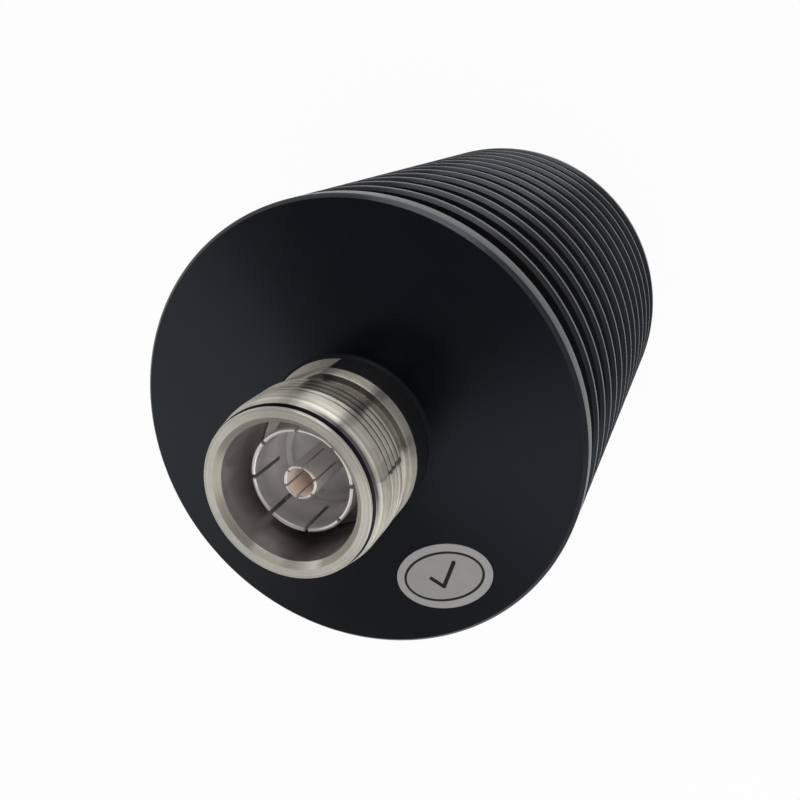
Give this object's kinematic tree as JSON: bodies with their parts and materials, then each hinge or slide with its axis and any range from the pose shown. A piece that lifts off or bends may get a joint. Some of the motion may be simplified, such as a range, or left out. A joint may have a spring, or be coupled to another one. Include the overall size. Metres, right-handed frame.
{
  "type": "rf dummy load",
  "caption": "Cylindrical finned coaxial termination with a screw coupling on its front face, which turns radio-frequency power into heat.",
  "frame": {"origin": "centre of the rear face, on which the part stands", "axes": "+Z along the body's axis, out of the coupling; +X points to the right of the picture's view"},
  "size_m": [0.057, 0.057, 0.0891],
  "materials": {
    "black_anodised": "black anodised, satin",
    "nickel": "nickel plated, fine turned",
    "contact_plate": "bright plated",
    "contact_metal": "bright plated, warm inside",
    "bead_plastic": "waxy white",
    "seal_rubber": "matt",
    "spring_steel": "plain",
    "liner_brass": "bored",
    "film_ceramic": "resistive film",
    "copper": "turned",
    "foil": "soft foil",
    "sticker_film": "silver-grey film"
  },
  "bodies": {
    "root": {"heat_sink": "black_anodised", "connector_body": "nickel", "outer_contact": "contact_plate", "centre_contact": "contact_metal", "front_bead": "bead_plastic", "bead_ring": "nickel", "neck_seal": "seal_rubber", "spring_washer": "spring_steel", "taper_liner": "liner_brass", "line_bead": "bead_plastic", "input_cap": "liner_brass", "resistor_rod": "film_ceramic", "ground_cap": "copper", "thermal_foil": "foil", "inspection_sticker": "sticker_film"}
  },
  "joints": []
}
